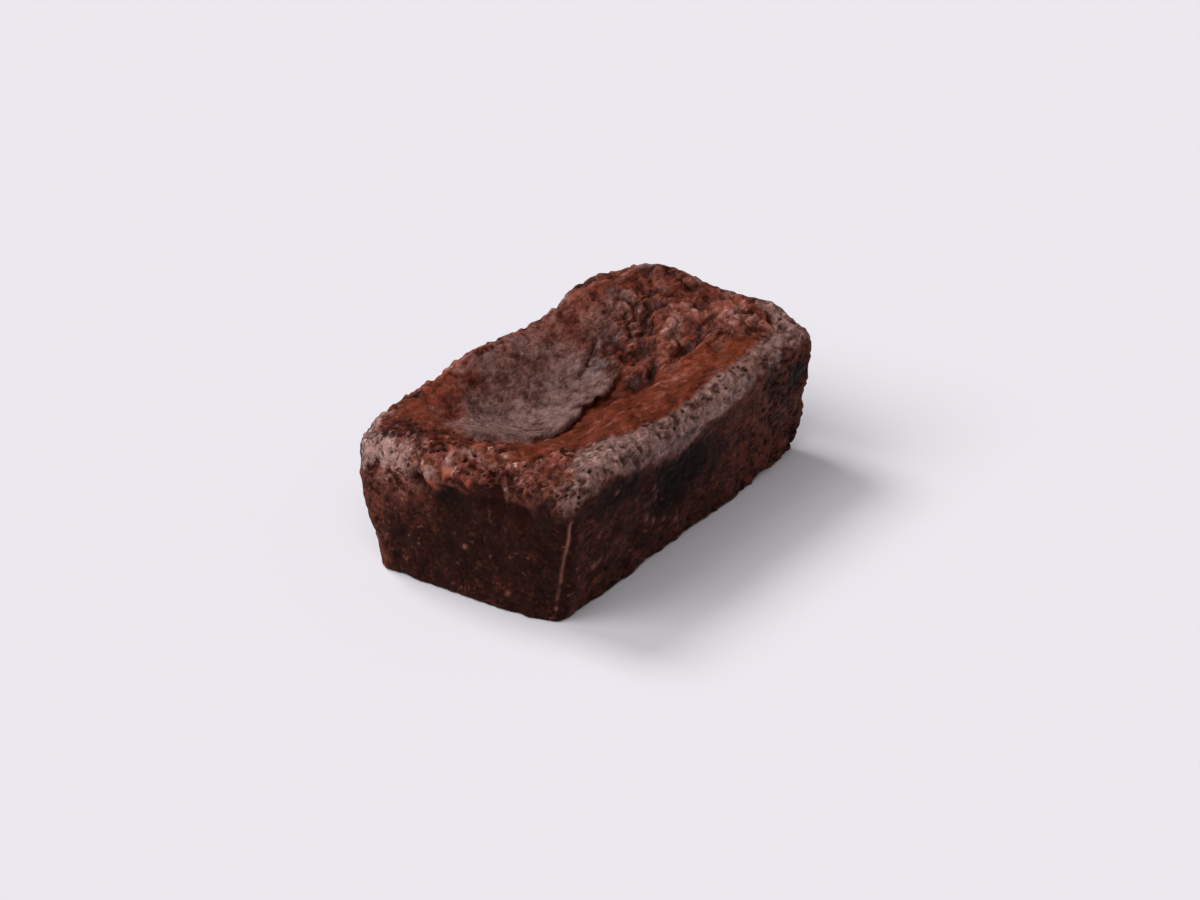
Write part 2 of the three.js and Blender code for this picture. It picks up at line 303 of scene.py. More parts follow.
# Places where the dull film is thicker or thinner, given like the humps
FILM_PATCHES = [
    (24.5, -3.8, 8, 2.2, 17, 0.12),
    (-42, 14, 2.5, 6, 0, -0.35),
    (41, -4, 5, 9, 0, -0.35),
    (14, -3.6, 3, 1.2, 30, 0.1),
    (-44.3, -20.8, 3, 3, 0, -0.25),
    (-36, 4, 6, 10, 0, -0.5),
    (-30, 4.5, 7, 3, -28, 0.4),
    (-18, -0.2, 6, 1.6, 0, 0.2),
    (-23, 17.5, 6, 4, 0, -0.3),
    (-42, 11, 3.5, 5, 0, -0.4),
    (-34, 9, 5, 4, 0, 0.3),
    (-38, -2.3, 4, 3, 0, 0.3),
    (26.5, 9.5, 5, 5.5, 0, 0.14),
    (16, 5.5, 3.5, 6, 0, -0.45),
    (11.5, 3, 3.5, 2.6, 20, -0.2),
    (-39.5, 17, 4, 6, 0, -0.45),
    (-45, 18, 2.5, 7, 0, 0.25),
    (24.5, -9, 5, 2.6, 0, -0.35),
    (-44, -18.5, 3.5, 5.5, 0, -0.4),
]

# A painted highlight on the crust of the left corner, and darker and paler places of the crumb, given like
# the humps. Among those places is painted shade under the torn lip and in the pocket by the ridge.
LEFT_CORNER_HIGHLIGHT = (-45, 18, 2.5, 7, 0, 1)
SHADE_AND_TONE_PATCHES = [
    # The first two are painted shade under the torn lip, and the fifth is painted shade in the pocket by the
    # ridge
    (10, -4.8, 5.5, 3, 25, -0.5),
    (3, -1.8, 7, 1.6, 4, -0.33),
    (-24, -9, 11, 5, 0, 0.12),
    (19, -15, 12, 4, 5, 0.1),
    (20.5, -7.4, 5, 1.5, -8, -0.25),
    (27, 12.5, 4.5, 4, 0, -0.25),
    (-40, 17, 4, 6, 0, -0.2),
    (26, 21.5, 9, 3.5, 0, 0.3),
    (-31, 12.5, 5, 5, 0, 0.3),
    (31.5, 4, 3, 3, 0, -0.25),
    (15, 0.5, 2, 2, 0, 0.2),
    (16.5, 8, 2.6, 2, 0, -0.2),
    (8.5, 7, 5, 3, 0, -0.2),
    (16, 5.5, 3.5, 6, 0, -0.22),
    (24, -4, 8, 1.8, 17, 0.2),
    (8, 5, 6, 4, 0, -0.14),
    (18.5, 2, 3, 3, 0, -0.15),
    (2, 21.5, 12, 3, 0, 0.06),
    (22.5, 0.6, 7, 1.8, 17, -0.22),
    (25.5, -9, 4, 2, 0, -0.15),
    (36, -10, 5, 4, 0, 0.42),
    (31, 8, 4, 4, 0, 0.12),
    (13.5, 10.5, 3, 3, 0, 0.2),
    (6.5, -13, 4, 3, 0, 0.15),
    (11.5, 4, 4, 4, 20, -0.08),
    (0, -18, 4, 3, 0, 0.2),
    (14.5, -1.5, 3, 2, 0, -0.2),
    (31.5, -16.5, 3, 2, 0, 0.25),
    (28, -21, 3, 2, 0, -0.15),
    (21.5, 7, 3, 3, 0, -0.15),
    (26, 8, 12, 9, 0, -0.14),
    (26.8, 4.4, 2, 2, 0, 0.2),
    (17.5, 6.1, 2, 2, 0, 0.25),
    (11.8, 2.5, 2, 2, 0, 0.25),
    (11.5, -3, 2.5, 1.5, 0, -0.1),
    (-14, 2.2, 12, 2.5, 0, -0.08),
    (-8, 9, 10, 4, 0, 0.06),
    (29, -3, 6, 5, 0, -0.1),
    (33, -12.5, 4, 4, 0, 0.18),
]

# Paler and darker places of the rim, the knobs and the walls: x, y, z, reach and change
TONES = [
    (-40.5, -2.2, 27, 3, 0.3),
    (-42.4, 8.4, 28.8, 3, -0.45),
    (-38.3, -2, 27.2, 3, 0.25),
    (-40, 18.5, 28, 3.5, -0.4),
    (-44, -18.5, 5, 4, -0.2),
    (-44.3, -9.6, 25.4, 1.2, 0.7),
    (-44.8, 20.5, 21, 2.5, -0.35),
    (44, -24, 8, 6, -0.2),
    (-44, -18.5, 12, 4, -0.25),
    (-41.5, -22.5, 5, 4, 0.35),
    (-41.5, -23.5, 12, 4, 0.25),
    (-44.9, 1, 23, 1.7, -0.6),
    (-44.6, 13, 26.6, 2.5, 0.25),
    (-43.7, -5, 25.7, 1.4, -0.35),
    (-43.4, -15, 26.3, 3, -0.4),
    (-44.3, -20, 25.9, 2.4, -0.5),
    (-41, -19.5, 27.9, 1.8, 0.3),
    (-44.8, -5.3, 24.6, 2, -0.6),
    (-44.7, -20.6, 24.4, 2.2, -0.3),
    (-16.8, -25.1, 24.3, 2.2, -0.4),
    (-24, -23, 27.5, 1.5, 0.3),
    (40.5, -23, 4, 5, -0.3),
    (30, -24.6, 18.5, 5, -0.3),
    (37, -24.3, 16, 5, -0.3),
    (-10.8, -25.1, 24.5, 2, -0.35),
    (-23, -25.1, 24, 2, -0.35),
    (-38, -24.6, 25.6, 1.6, -0.35),
    (-41.1, -18, 27.7, 1.8, 0.25),
    (39.6, -10.8, 31.3, 2.5, -0.25),
    (30, -5, 29.6, 1, 0.4),
    (27.5, -3, 28.6, 0.9, 0.5),
    (31, -7.5, 29.8, 0.9, 0.4),
    (-43.7, -19.5, 4, 4, -0.3),
    (-44.8, 7, 21.5, 2.5, 0.1),
]

# The spots that are burst bubbles lie deeper than this and are smaller than this
BUBBLE_DEPTH, BUBBLE_REACH = -0.9, 3

# Small knobs of raw crumb round the burst bubbles, with pale crusts: x, y, z, reach and rise
NUBS = [(-45.2, 5.2, 24.6, 1, 0.9), (-44.2, 2.3, 27, 0.9, 0.6), (-44.3, -9.6, 25.4, 1, 0.7)]

# Thin pale crumbs on the walls, and two painted glints low on the left end: x, y, z, reach and strength
PALE_CRUMBS_AND_GLINTS = [
    (-15.8, -24.2, 17.2, 0.6, 0.6),
    (-14.6, -24.1, 15.8, 0.6, 0.5),
    (-14.4, -23.9, 14.2, 0.6, 0.6),
    (-16, -23.9, 13.8, 0.6, 0.6),
    (-17.8, -23.9, 14.2, 0.6, 0.5),
    (-16.9, -23.5, 11.4, 0.6, 0.9),
    (-14.1, -23.3, 9.2, 0.6, 0.7),
    (-10.6, -23.1, 8.2, 0.5, 0.5),
    (-5.8, -22.8, 6.1, 0.6, 0.7),
    (-35, -23.3, 8.8, 0.9, 0.7),
    (-33, -23.4, 9.6, 0.8, 0.7),
    (-30.2, -23.2, 8.4, 0.7, 0.6),
    (-24.2, -23.3, 8.9, 0.7, 0.5),
    (-29.5, -24.8, 22, 0.8, 0.5),
    # The next two are painted glints low on the left end
    (-43.7, -10.7, 3.9, 0.45, 0.6),
    (-43.7, 17.6, 2.9, 0.5, 0.4),
    (-44.2, -1.5, 11, 0.4, 0.9),
]

# Places where the loaf is a little fuller or slimmer: x, y, z, reach and rise
TRIMS = [
    (-27, 24, 30, 7, -1),
    (23, 23, 30, 5.5, -1.2),
    (12, 24, 28, 5, -0.3),
    (44.5, -22, 27.5, 4, -0.8),
    (45, -23, 15, 10, -0.6),
    (-44, 20.5, 3, 7, -0.7),
    (-43.4, -4, 1, 9, 0.6),
    (-43.4, -16, 1, 5, 0.3),
    (-41.5, -23, 1, 5, -0.5),
    (43.3, -22.3, 3.5, 3.5, 0.5),
]

# Bright raw crumb where the crust broke, and painted edge light: x, y, z, reach and strength
RAW_CRUMB_AND_EDGE_LIGHT_SPOTS = [
    (-45.2, 5, 22.4, 1.1, 0.9),
    (-44.8, 2, 25.6, 1, 0.7),
    (-44.8, -2.1, 24.6, 1.1, 0.6),
    (-33, -14.6, 26, 1.7, 0.5),
    (-30, -15.3, 26, 1.4, 0.4),
    (17, -10.5, 24, 1.6, 0.5),
    (20, -10.9, 25, 1.2, 0.6),
    (44.6, -22, 24, 1.6, 0.7),
    # These four are painted light along lit edges: the far rim's crest, the far corner of the left end's foot
    # and the near edge of the right-hand end
    (-19, 22.5, 29, 3, 0.35),
    (-43.4, 19.3, 2.5, 2, 0.3),
    (43.6, -23.2, 10.5, 2.2, 0.3),
    (-13, 21, 29, 2, 0.3),
]

# The seam down the front corner: where it starts and how it leans, its reach, rise and paleness, and how
# far it wanders, with the sizes of its bends and its gaps
SEAM_X, SEAM_Y, SEAM_LEAN = -43.45, -20.1, -0.178
SEAM_REACH, SEAM_RISE, SEAM_STRENGTH = 0.28, 0.35, 0.65
SEAM_WANDER, SEAM_BEND_SIZE, SEAM_GAP_SIZE = 0.25, 3, 1.6

# Nearly black places of the walls, dark crumb on the long side and painted shade under the crags of the left
# end: x, y, z and the reach each way
DARK_AND_SHADED_PATCHES = [
    (-5, -25, 18, 10, 6, 4),
    (-8, -24, 14, 9, 6, 6),
    (-28, -25, 21.5, 8, 6, 3.2),
    (37, -25, 20, 4, 6, 3),
    # These three are painted shade under the crags of the left end
    (-45, 2.2, 20.3, 4, 3.2, 3),
    (-45, -9, 21.5, 4, 4, 1.6),
    (-45, 8.8, 22.6, 4, 1.4, 1.6),
]

# Steps of the surface along each side of the loaf, and rows up the wall, over the rim and underneath
STEPS_X, STEPS_Y = 248, 126
WALL_ROWS, RIM_ROWS, BASE_ROWS = 64, 20, 4

ramp_x = np.linspace(-1, 1, STEPS_X + 1)[:-1]
ramp_y = np.linspace(-1, 1, STEPS_Y + 1)[:-1]
one_x, one_y = np.ones(STEPS_X), np.ones(STEPS_Y)
edge_u = np.concatenate([ramp_x, one_y, -ramp_x, -one_y])
edge_v = np.concatenate([-one_x, ramp_y, one_x, -ramp_y])
edge_count = len(edge_u)


def base_rows():
    """Rings of the flat underside, from near its middle out to where the edge starts to round."""
    t = (np.arange(1, BASE_ROWS + 1) / (BASE_ROWS + 1))[:, None]
    half_x, half_y = BASE_LENGTH / 2 - BASE_ROUND, BASE_WIDTH / 2 - BASE_ROUND
    x, y, out_x, out_y = outline(edge_u, edge_v, half_x, half_y, BASE_CORNER)
    x, y = x * t + BASE_SHIFT[0], y * t + BASE_SHIFT[1]
    flat = np.zeros_like(x)
    return np.stack([x, y, flat]), np.stack([flat, flat, flat])


def wall_rows():
    """Rings of the wall: the outline widens evenly from the base to the shoulder, and the lowest rows
    round the bottom edge on a quarter circle."""
    z = np.linspace(0, 1, WALL_ROWS + 1)[:, None] * SHOULDER
    t = z / SHOULDER
    inset = BASE_ROUND - np.sqrt(np.clip(BASE_ROUND**2 - np.clip(BASE_ROUND - z, 0, None) ** 2, 0, None))
    half_x = (BASE_LENGTH + (LENGTH - BASE_LENGTH) * t) / 2 - inset
    half_y = (BASE_WIDTH + (WIDTH - BASE_WIDTH) * t) / 2 - inset
    corner = BASE_CORNER + (SHOULDER_CORNER - BASE_CORNER) * t
    x, y, out_x, out_y = outline(edge_u, edge_v, half_x, half_y, corner)
    x, y = x + BASE_SHIFT[0] * (1 - t), y + BASE_SHIFT[1] * (1 - t)
    return np.stack([x, y, np.broadcast_to(z, x.shape)]), np.stack([out_x, out_y, 0 * x])


def rim_rows():
    """Rings over the rim: a quarter of an ellipse from the shoulder to the crest."""
    angle = (np.arange(1, RIM_ROWS + 1) / RIM_ROWS * np.pi / 2)[:, None]
    wall_x, wall_y, out_x, out_y = outline(edge_u, edge_v, LENGTH / 2, WIDTH / 2, SHOULDER_CORNER)
    x, y, _, _ = outline(edge_u, edge_v, LENGTH / 2 - RIM, WIDTH / 2 - RIM, CREST_CORNER)
    z = SHOULDER + (top(x, y) - SHOULDER) * np.sin(angle)
    place = np.stack([x + (wall_x - x) * np.cos(angle), y + (wall_y - y) * np.cos(angle), z])
    up = np.broadcast_to(np.sin(angle), z.shape)
    return place, np.stack([out_x * np.cos(angle), out_y * np.cos(angle), up])


def top_grid():
    """Grid inside the crest: each point is blended from the four sides of the crest line."""
    x, y, _, _ = outline(edge_u, edge_v, LENGTH / 2 - RIM, WIDTH / 2 - RIM, CREST_CORNER)
    line = np.stack([x, y])
    a, b = STEPS_X, STEPS_X + STEPS_Y
    near, right = line[:, : a + 1], line[:, a : b + 1]
    far = line[:, b : b + a + 1][:, ::-1]
    left = np.concatenate([line[:, b + a :], line[:, :1]], axis=1)[:, ::-1]
    u = np.linspace(0, 1, STEPS_X + 1)[None, :, None]
    v = np.linspace(0, 1, STEPS_Y + 1)[None, None, :]
    sides = near[:, :, None] * (1 - v) + far[:, :, None] * v + left[:, None] * (1 - u) + right[:, None] * u
    corners = [near[:, :1, None], near[:, -1:, None], far[:, :1, None], far[:, -1:, None]]
    blend = (corners[0] * (1 - u) + corners[1] * u) * (1 - v) + (corners[2] * (1 - u) + corners[3] * u) * v
    plan = (sides - blend)[:, 1:-1, 1:-1]
    z = top(*plan)
    return np.stack([*plan, z]), np.stack([0 * z, 0 * z, 0 * z + 1])


def joined(*parts):
    """Several stacks of points as one list of points, three numbers each."""
    return np.concatenate([part.reshape(3, -1) for part in parts], axis=1)


rings = [base_rows(), wall_rows(), rim_rows()]
grid, grid_out = top_grid()
place = joined(*(ring[0] for ring in rings), grid)
out = joined(*(ring[1] for ring in rings), grid_out)
x, y, z = place

# Noise of several sizes, from grains up to lumps, and grains that are drawn out along the loaf
ROUGH, MIDDLING, BROAD, SWIRL = 1.05, 2.1, 4.4, 6.5
RIDGES, FINE_RIDGES = 3.4, 1.7
PIT_SIZE, CHUNK_SIZE, CLOD_SIZE = 1.5, 2.5, 4.2
PIT_STRETCH, CHUNK_STRETCH, CLOD_STRETCH = 0.65, 0.8, 0.9

rough = noise(x / ROUGH, y / ROUGH, z / ROUGH)
middling = noise(x / MIDDLING + 5, y / MIDDLING, z / MIDDLING)
broad = noise(x / BROAD, y / BROAD + 8, z / BROAD)
swirl = noise(x / SWIRL + 3, y / SWIRL, z / SWIRL)
ridged = 1 - 2 * np.abs(noise(x / RIDGES + 0.4 * middling, y / RIDGES + 0.4 * broad, z / RIDGES + 4))
fine_ridged = 1 - 2 * np.abs(noise(x / FINE_RIDGES + 2, y / FINE_RIDGES, z / FINE_RIDGES))
ridged = 0.6 * ridged + 0.4 * fine_ridged

first, second, value = grains(PIT_STRETCH * x, y, z, PIT_SIZE)
dome = 0.5 - first
pits = smooth(value + 0.4 * broad, 0.3, 0.55) * (1 - smooth(first, 0.12, 0.4))

drifted = (CHUNK_STRETCH * x + 0.9 * middling, y + 0.9 * broad, z + 0.7 * rough)
first, second, value = grains(*drifted, CHUNK_SIZE)
creases = 1 - smooth(second - first, 0.02, 0.22)
chunks = 0.4 * value + 0.6 * smooth(second - first, 0, 0.5) - 0.35

drifted = (CLOD_STRETCH * x + 1.4 * broad, y + 1.4 * swirl, z + 0.8 * middling)
first, second, value = grains(*drifted, CLOD_SIZE)
clods = 0.5 * value + 0.7 * smooth(second - first, 0, 0.4) - 0.5
clefts = 1 - smooth(second - first, 0.02, 0.12)

# The sunken skin: sharp where it tore, and a soft border everywhere else. A span is the pair of places
# between which one look gives way to the next.
TOP_SPAN, CREST_SPAN = (0.8, 1.0), (-1.6, 1.8)
TORN_Y, TORN_LEFT, TORN_RIGHT = (3, 7), (-24, -15), (11, 15)
TORN_BORDER, SOFT_BORDER = (-0.35, 0.35), (-3.4, 2.4)
upward = out[2]
distance = skin_distance(x, y)
ragged = distance + 0.25 * middling + bells(x, y, NOTCHES)
crest_gap = np.minimum(LENGTH / 2 - RIM - np.abs(x), WIDTH / 2 - RIM - np.abs(y))
crest_gap = crest_gap + 1.5 * swirl + 1.2 * middling + 0.6 * rough + bells(x, y, CREST_SPREADS)
on_top = smooth(upward, *TOP_SPAN) * smooth(crest_gap, *CREST_SPAN)
sharp = (1 - smooth(y, *TORN_Y)) * smooth(x, *TORN_LEFT) * (1 - smooth(x, *TORN_RIGHT))
soft_distance = ragged + 2.4 * broad + 1.6 * middling + 0.8 * rough
soft_distance = soft_distance - 6 * smooth(x, 8, 18) * smooth(y, 8, 13)
soft_edge = 1 - smooth(soft_distance, *SOFT_BORDER)
skin = on_top * (sharp * (1 - smooth(ragged, *TORN_BORDER)) + (1 - sharp) * soft_edge)

# The rim's crust ends in a ragged foot: lower in the middle of the front, higher at both its ends
RIM_FOOT, FOOT_BELOW, FOOT_ABOVE = 22.2, 2.4, 1.8
FRONT_SPAN, FAR_SPAN, FAR_FACE_SPAN = (14, 20), (10, 19), (22.5, 24.5)
END_FROM, END_TO, END_LEAN = -43.4, -40, 0.06
long_side = smooth(-y, *FRONT_SPAN)
far = smooth(y, *FAR_SPAN)
far_face = smooth(y, *FAR_FACE_SPAN)
right_corner = smooth(x, 41, 44) * long_side
from_end = x - END_LEAN * np.clip(SHOULDER - z, 0, None)
end_face = 1 - smooth(from_end, END_FROM, END_TO)
end_only = end_face * (1 - long_side)
band_foot = RIM_FOOT + 1.6 * swirl + 1.2 * middling + 0.9 * rough + 0.8 * value
front_foot = 3.2 * smooth(-x, 16, 34) - 2.4 * smooth(-x, 40, 43.5) + 4.5 * smooth(x, 10, 24)
band_foot = band_foot + long_side * (front_foot - 2.2 * np.exp(-(((x + 5) / 5) ** 2)))
band_foot = band_foot + 3 * end_only * smooth(-y, 2, 10) - 3.5 * (1 - end_face) * smooth(y, 6, 16)
fade = end_only * (6 * smooth(y, 3, 9) + 3.5 * smooth(-y, 5, 10))
rim = (1 - on_top) * smooth(z, band_foot - FOOT_BELOW - fade, band_foot + FOOT_ABOVE)
wall = (1 - on_top) * (1 - rim)

# Knobs of crumb at the right, the slope of the left end, and the moist strip between them
bare = on_top * (1 - skin)
knob_edge = y + 5 + 0.25 * (x - 13) + 1.6 * broad + 0.8 * middling
knob_edge = knob_edge + 14 * smooth(x + 0.6 * y + 2 * broad, 9, 27)
knobs = bare * smooth(knob_edge, -2, 2) * smooth(x + broad - 4 * smooth(y, 4, 12), 8, 13)
tongue = 8 * smooth(-y, 1, 6) * smooth(y, -14, -8)
slope = bare * (1 - smooth(x + 3 * broad + 0.4 * y + tongue, -36, -25))
wet = bare * (1 - knobs) * (1 - slope)

# The crust is lumpy at the left end's rim, the knobs and the far rim. The wall is craggy at the front's
# right, at the right-hand end, along its foot and high up on the left end's near half.
end_rim = (rim + slope) * (1 - smooth(x, -42, -35))
front_end = end_rim * (1 - smooth(y, 4, 11)) * smooth(y, -22, -15)
speckled = end_rim * smooth(y, 6, 12)
lumpy = np.clip(0.55 * knobs + slope + front_end + rim * far * (1 - 0.6 * far_face), 0, 1)
craggy = smooth(x, 14, 26) * smooth(-y, 12, 18) + 0.5 * smooth(x, 38, 42) + 0.5 * (1 - smooth(z, 5, 9))
craggy = craggy + 0.7 * (1 - smooth(x, -40, -34)) * smooth(-y, 2, 10) * smooth(z, 13, 19)

# Long folds and fine streaks run through the moist strip
FOLD_ALONG, FOLD_ACROSS, FINE_ALONG, FINE_ACROSS = 11, 3.2, 6, 1.2
bend = y - 0.22 * x + 1.3 * broad + 1.8 * swirl
folds = 1 - 2 * np.abs(noise(x / FOLD_ALONG + 4, bend / FOLD_ACROSS, 5.5))
streaks = noise(x / FINE_ALONG, bend / FINE_ACROSS, 8.5)

# How much of the dull greyish film covers the reddish crumb, and how calm each part looks
RIM_FILM, SKIN_FILM, KNOB_FILM, SLOPE_FILM, FOLD_FILM = 0.86, 0.86, 0.04, 0.1, 0.08
film = rim * (RIM_FILM - 0.8 * far * smooth(x, -40, -30) - 0.64 * front_end)
film = film - 0.2 * rim * smooth(x, 42, 44.5) * smooth(y, -20, -12)
skin_film = SKIN_FILM - 0.5 * smooth(y, 5, 17) - 0.3 * smooth(x, 12, 24) - 0.28 * (1 - smooth(x, -34, -20))
film = film + skin * skin_film
film = film * (1 - end_rim * (0.3 + 0.6 * far) * (1 - smooth(z, 21, 26.5)))
film = film + knobs * KNOB_FILM + slope * SLOPE_FILM + wet * FOLD_FILM * smooth(folds, 0.3, 1)
film = film + (1 - wall) * bells(x, y, FILM_PATCHES)
film = np.clip(film + 0.12 * (1 - wall - wet) * (swirl + broad), 0, 1)
calm = np.clip(0.62 * skin + 0.75 * wet + 0.2 * knobs, 0, 1) - 0.7 * speckled

# Fine relief in millimetres, each kind in its own part of the surface
WRINKLE_ALONG, WRINKLE_ACROSS = 3.1, 2.3
wrinkles = noise(x / WRINKLE_ALONG + 0.5 * middling, y / WRINKLE_ACROSS + 0.5 * broad, 2.5)
wrinkles = 1 - 2 * np.abs(wrinkles)
crags = 0.5 * ridged + 0.35 * middling + 0.3 * broad + 0.28 * rough - 0.3
blotch = 0.5 * middling + 0.5 * rough + 0.35 * ridged - 0.12
crumble = 0.12 * middling + 0.12 * rough + 0.15 * dome - 0.2 * pits
lumps = 0.6 * crags + 0.5 * chunks + 0.25 * rough - 0.3 * pits
lump_rise = 0.85 - 0.6 * rim * far - 0.25 * front_end - 0.2 * speckled
relief = wall * (crumble + craggy * (0.25 * crags + 0.35 * chunks))
relief = relief + rim * (0.3 * dome + 0.25 * rough + 0.22 * blotch - 0.5 * pits - 0.15 * far)
relief = relief + skin * (0.14 * wrinkles + 0.09 * rough + 0.14 * middling)
relief = relief + wet * (0.36 * folds + 0.05 * streaks + 0.22 * middling + 0.3 * clods - 0.15)
relief = relief + knobs * (0.7 * clods + 0.2 * middling + 0.1 * rough)
relief = relief + lumpy * lump_rise * lumps + on_top * bells(x, y, FINE_MARKS)

# The foot of the loaf: a little fuller under the end, a little drawn in along the front
relief = relief + wall * (1 - smooth(z, 1, 6)) * (0.4 * end_only - 0.3 * long_side)

# How light each place is: high places are pale and low ones dark, as painted highlights on the high places
# and fold crests and painted shade in the low ones
skin_level = 0.12 * wrinkles + 0.14 * (rough + broad) + 0.18 * middling - 0.12 + 0.06 * smooth(y, 8, 17)
wet_level = 0.2 * folds + 0.05 * streaks + 0.14 * (rough + middling) + 0.15 * (chunks + clods) - 0.1
# The rim's left corner is paler by a painted highlight
rim_level = 0.7 * dome + 0.6 * blotch + 0.35 * bells(x, y, [LEFT_CORNER_HIGHLIGHT]) + 0.08 * far - 0.35 * far_face
wall_level = 0.25 * (middling + rough) + 0.5 * dome + 0.4 * craggy * chunks
# The right-hand end's near edge is paler by painted edge light
wall_level = wall_level + 0.3 * right_corner
level = 0.5 + wall * wall_level + rim * rim_level + skin * skin_level + wet * wet_level
level = level + knobs * (0.35 * clods + 0.2 * middling + 0.15 * rough + 0.02)
level = level + lumpy * (1 - 0.35 * front_end) * (0.45 * crags + 0.5 * chunks + 0.1)
level = level + on_top * (bells(x, y, SHADE_AND_TONE_PATCHES) + 0.45 * bells(x, y, FINE_MARKS))
level = level - 0.15 * end_rim * (1 - smooth(z, 21, 26))

# Painted shade in the holes: pits, gaps between lumps, the small caves, deep folds and the burst bubbles
gaps = 1 - smooth(crags, -0.75, -0.2)
hollow_shade = pits * (1.3 * rim + 0.6 * wall + 0.5 * lumpy + 0.5 * skin * smooth(-x, 6, 16))
hollow_shade = hollow_shade + (0.5 * gaps + 0.25 * creases) * lumpy + 0.5 * clefts * knobs * smooth(broad, -0.3, 0.3)
hollow_shade = hollow_shade + on_top * (bells(x, y, SHADED_CAVES) + 0.7 * smooth(-bells(x, y, FINE_MARKS), 0.22, 0.7))
for *spot, reach, rise in SPOTS:
    if rise < BUBBLE_DEPTH and reach < BUBBLE_REACH:
        hollow_shade = hollow_shade + (1 + 0.5 * middling) * ball(x, y, z, spot, 0.85 * reach)

# The knobs of raw crumb keep their own looks, and the tones and trims are laid over everything
for *nub, reach, rise in NUBS:
    bump = ball(x, y, z, nub, reach)
    relief, film, level = relief + rise * bump, film + 0.9 * bump, level + 0.15 * bump
    hollow_shade, wall = hollow_shade * (1 - bump), wall * (1 - bump)
film = np.clip(film, 0, 1)
for *spot, reach, change in TONES:
    level = level + change * ball(x, y, z, spot, reach)
for *spot, reach, rise in TRIMS:
    relief = relief + rise * ball(x, y, z, spot, reach)

# The torn lip curls out over the groove, which is in its shade
CURL, CURL_AT, CURL_WIDTH = 0.32, -0.5, 0.7
CURL_NOISE, CURL_SIZE, CURL_LEFT = 0.3, 3.2, (-22, -13)
TUCK, TUCK_AT, TUCK_WIDTH = 0.8, 1.2, 0.7
SHADE, SHADE_AT, SHADE_WIDTH = 0.75, 0.6, 0.5
step = 0.2
lean_x = (skin_distance(x + step, y) - distance) / step
lean_y = (skin_distance(x, y + step) - distance) / step
torn = on_top * inside(x, y) * (1 - smooth(y, *TORN_Y)) * smooth(x, *CURL_LEFT) * (1 - smooth(x, *TORN_RIGHT))
curl = torn * (CURL + CURL_NOISE * noise(x / CURL_SIZE, y / CURL_SIZE, 6.5))
curl = curl * np.exp(-(((ragged - CURL_AT) / CURL_WIDTH) ** 2))
tuck = torn * TUCK * np.exp(-(((ragged - TUCK_AT) / TUCK_WIDTH) ** 2))
shade = torn * SHADE * np.exp(-(((ragged - SHADE_AT) / SHADE_WIDTH) ** 2))
hollow_shade = np.clip(hollow_shade + shade, 0, 1)

# A thin seam of dough runs down the front corner, from a crease between the tin's sides
wander = SEAM_LEAN * z + SEAM_WANDER * noise(z / SEAM_BEND_SIZE, 0.5, 0.5)
seam_and_glints = np.exp(-((x - SEAM_X) ** 2 + (y - SEAM_Y - wander) ** 2) / SEAM_REACH**2)
unbroken = smooth(noise(z / SEAM_GAP_SIZE, 2.5, 0.5) + 0.5 * rough + 0.04 * z, 0, 0.7)
seam_and_glints = seam_and_glints * unbroken * (1 - smooth(z, 21, 23))
relief = relief + SEAM_RISE * seam_and_glints
seam_and_glints = SEAM_STRENGTH * seam_and_glints
# The pale crumbs and two painted glints join the seam's mask
for *spot, reach, strength in PALE_CRUMBS_AND_GLINTS:
    crumb = strength * ball(x, y, z, spot, reach)
    seam_and_glints, relief = seam_and_glints + crumb * np.clip(0.7 + rough, 0, 1), relief + 0.3 * crumb
seam_and_glints = np.clip(seam_and_glints, 0, 1)

# The wall is reddish brown where it baked less: low down, at its corners and towards the right. Along the
# left end's far edge and the right-hand end's near edge the added warmth is painted edge light.
off_end = smooth(from_end, END_FROM, -40.5)
warm = 0.12 + (0.15 + 0.18 * long_side + 0.25 * swirl) * off_end
warm = warm + (0.22 - 0.1 * end_face) * (1 - smooth(z, 3, 9))
# The right-hand end's near edge is warmer by painted edge light
warm = warm + 0.68 * smooth(x, 6, 22) * smooth(-y, 15, 20) + 0.35 * right_corner
warm = warm + 0.3 * smooth(x, 20, 32) * (1 - smooth(z, 2, 8))
# Painted edge light on the left end's far corner, which faces the lights behind
warm = warm + 0.7 * smooth(y, 15, 20) * (1 - smooth(x, -43, -30))
warm = warm + smooth(z, 9, 17) * (0.5 * end_face * smooth(y, 2, 8) + 0.1 * end_only * smooth(-y, 6, 12))
warm = warm * (1 - 0.6 * smooth(x, 42.8, 44.2) * (1 - smooth(-y, 19.5, 22.5)))

# Nearly black patches of the walls, partly painted shade under the crags of the left end, and bright raw
# crumb where the crust broke, with painted light along a few lit edges
dark_and_shade = 0
for cx, cy, cz, rx, ry, rz in DARK_AND_SHADED_PATCHES:
    dark_and_shade = dark_and_shade + np.exp(-(((x - cx) / rx) ** 2) - ((y - cy) / ry) ** 2 - ((z - cz) / rz) ** 2)
dark_and_shade = np.clip(wall * dark_and_shade * (1.2 + 0.6 * middling), 0, 1)
raw_crumb_and_edge_light = 0
for *spot, reach, strength in RAW_CRUMB_AND_EDGE_LIGHT_SPOTS:
    raw_crumb_and_edge_light = raw_crumb_and_edge_light + strength * ball(x, y, z, spot, reach)
raw_crumb_and_edge_light = np.clip(raw_crumb_and_edge_light * (1 + 0.7 * rough), 0, 1)
hollow_shade = hollow_shade * (1 - raw_crumb_and_edge_light)

points = place + out * (crust(x, y, z) + relief)
points[0] += lean_x * (curl - tuck)
points[1] += lean_y * (curl - tuck)


